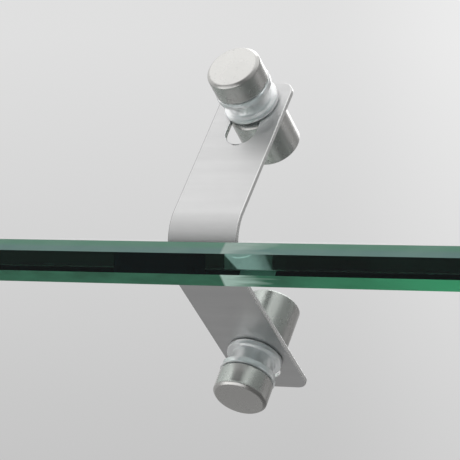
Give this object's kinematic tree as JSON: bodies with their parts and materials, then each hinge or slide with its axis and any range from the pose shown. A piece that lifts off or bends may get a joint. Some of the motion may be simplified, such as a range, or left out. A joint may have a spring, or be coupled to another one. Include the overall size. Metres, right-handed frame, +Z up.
{
  "type": "wall shelf with brackets",
  "caption": "Clear glass wall shelf bonded to a slim wall bar, with bent metal strap brackets that carry sliding cap-and-barrel standoffs in slots.",
  "frame": {"origin": "on the wall, at the middle of the wall bar's back face, level with the middle of the pane's thickness", "axes": "+X along the shelf to the right as seen from the front, +Y into the wall, +Z up"},
  "size_m": [0.6, 0.1833, 0.0954],
  "materials": {
    "glass": "polished, ground arrises",
    "aluminium": "satin",
    "satin_steel": "satin",
    "nickel": "bright nickel plate",
    "clear_plastic": "translucent",
    "zinc": "zinc plate",
    "black_seal": "matte",
    "plug_grey": "matte"
  },
  "bodies": {
    "shelf": {"glass_shelf": "glass", "wall_bar": "aluminium", "seal_left": "black_seal", "seal_middle": "black_seal", "seal_right": "black_seal", "setting_pad_left": "clear_plastic", "setting_pad_right": "clear_plastic", "bar_screw_1": "zinc", "bar_screw_2": "zinc", "bar_screw_3": "zinc", "bar_screw_4": "zinc", "wall_plug_1": "plug_grey", "wall_plug_2": "plug_grey", "wall_plug_3": "plug_grey", "wall_plug_4": "plug_grey", "strap_left": "satin_steel", "slot_liner_left": "black_seal", "strap_right": "satin_steel", "slot_liner_right": "black_seal"},
    "standoff_left_upper": {"barrel_left_upper": "nickel", "spool_left_upper": "clear_plastic"},
    "screw_left_upper": {"stud_left_upper": "zinc"},
    "knob_left_upper": {"cap_left_upper": "nickel"},
    "standoff_left_lower": {"barrel_left_lower": "nickel", "spool_left_lower": "clear_plastic"},
    "screw_left_lower": {"stud_left_lower": "zinc"},
    "knob_left_lower": {"cap_left_lower": "nickel"},
    "standoff_right_upper": {"barrel_right_upper": "nickel", "spool_right_upper": "clear_plastic"},
    "screw_right_upper": {"stud_right_upper": "zinc"},
    "knob_right_upper": {"cap_right_upper": "nickel"},
    "standoff_right_lower": {"barrel_right_lower": "nickel", "spool_right_lower": "clear_plastic"},
    "screw_right_lower": {"stud_right_lower": "zinc"},
    "knob_right_lower": {"cap_right_lower": "nickel"}
  },
  "joints": [
    {"name": "slide_left_upper", "type": "slide", "parent": "shelf", "child": "standoff_left_upper", "axis": [0, 0.6347, 0.7727], "range_m": [-0.0107, 0.0007]},
    {"name": "unscrew_left_upper", "type": "slide", "parent": "standoff_left_upper", "child": "screw_left_upper", "axis": [0, -0.7727, 0.6347], "range_m": [0, 0.003]},
    {"name": "turn_left_upper", "type": "hinge", "parent": "screw_left_upper", "child": "knob_left_upper", "pos_m": [-0.17, -0.06595, 0.041], "axis": [0, -0.7727, 0.6347], "range_deg": [0, 1080]},
    {"name": "slide_left_lower", "type": "slide", "parent": "shelf", "child": "standoff_left_lower", "axis": [0, 0.7923, -0.6101], "range_m": [-0.0025, 0.0074]},
    {"name": "unscrew_left_lower", "type": "slide", "parent": "standoff_left_lower", "child": "screw_left_lower", "axis": [0, -0.6101, -0.7923], "range_m": [0, 0.003]},
    {"name": "turn_left_lower", "type": "hinge", "parent": "screw_left_lower", "child": "knob_left_lower", "pos_m": [-0.17, -0.06232, -0.02449], "axis": [0, -0.6101, -0.7923], "range_deg": [0, 1080]},
    {"name": "slide_right_upper", "type": "slide", "parent": "shelf", "child": "standoff_right_upper", "axis": [0, 0.6347, 0.7727], "range_m": [-0.0107, 0.0007]},
    {"name": "unscrew_right_upper", "type": "slide", "parent": "standoff_right_upper", "child": "screw_right_upper", "axis": [0, -0.7727, 0.6347], "range_m": [0, 0.003]},
    {"name": "turn_right_upper", "type": "hinge", "parent": "screw_right_upper", "child": "knob_right_upper", "pos_m": [0.17, -0.06595, 0.041], "axis": [0, -0.7727, 0.6347], "range_deg": [0, 1080]},
    {"name": "slide_right_lower", "type": "slide", "parent": "shelf", "child": "standoff_right_lower", "axis": [0, 0.7923, -0.6101], "range_m": [-0.0025, 0.0074]},
    {"name": "unscrew_right_lower", "type": "slide", "parent": "standoff_right_lower", "child": "screw_right_lower", "axis": [0, -0.6101, -0.7923], "range_m": [0, 0.003]},
    {"name": "turn_right_lower", "type": "hinge", "parent": "screw_right_lower", "child": "knob_right_lower", "pos_m": [0.17, -0.06232, -0.02449], "axis": [0, -0.6101, -0.7923], "range_deg": [0, 1080]}
  ],
  "couplings": [
    {"joint": "turn_left_upper", "follows": "unscrew_left_upper", "rad_per_m": 6283},
    {"joint": "turn_left_lower", "follows": "unscrew_left_lower", "rad_per_m": 6283},
    {"joint": "turn_right_upper", "follows": "unscrew_right_upper", "rad_per_m": 6283},
    {"joint": "turn_right_lower", "follows": "unscrew_right_lower", "rad_per_m": 6283}
  ]
}
